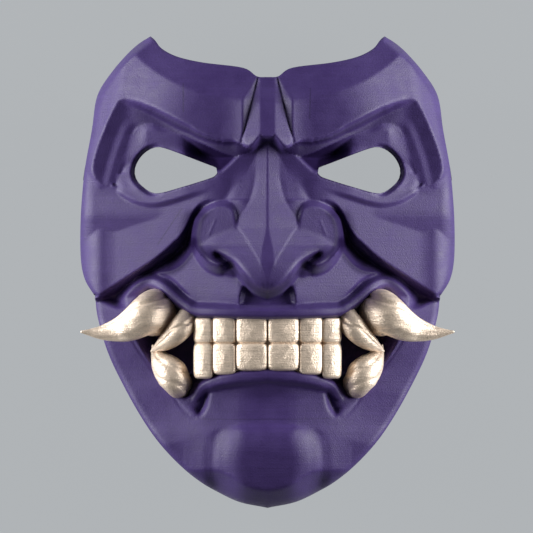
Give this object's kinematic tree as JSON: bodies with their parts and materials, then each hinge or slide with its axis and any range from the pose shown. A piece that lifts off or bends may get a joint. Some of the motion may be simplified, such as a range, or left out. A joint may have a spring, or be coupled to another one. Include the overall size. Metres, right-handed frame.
{
  "type": "samurai mask",
  "caption": "Full-face demon mask with scowling brow, long nose, bared teeth, fangs and curved tusks; hollow shell worn over the face.",
  "frame": {"origin": "centre of the mask's outline, on the table that its rim lies on", "axes": "+Z out of the face and up from the table, +Y from the chin to the forehead, +X to the right of someone looking at the face"},
  "size_m": [0.177, 0.2216, 0.102],
  "materials": {
    "purple_shell": "matte printed plastic with fine layer lines",
    "champagne_teeth": "satin champagne-gold metallic paint over fine print lines",
    "dark_rivet": "satin near-black brown"
  },
  "bodies": {
    "root": {"mask_shell": "purple_shell", "tooth_row": "champagne_teeth", "upper_fang_left": "champagne_teeth", "upper_fang_right": "champagne_teeth", "lower_fang_left": "champagne_teeth", "lower_fang_right": "champagne_teeth", "tusk_left": "champagne_teeth", "tusk_right": "champagne_teeth", "strap_rivet_left": "dark_rivet", "strap_rivet_right": "dark_rivet"}
  },
  "joints": []
}
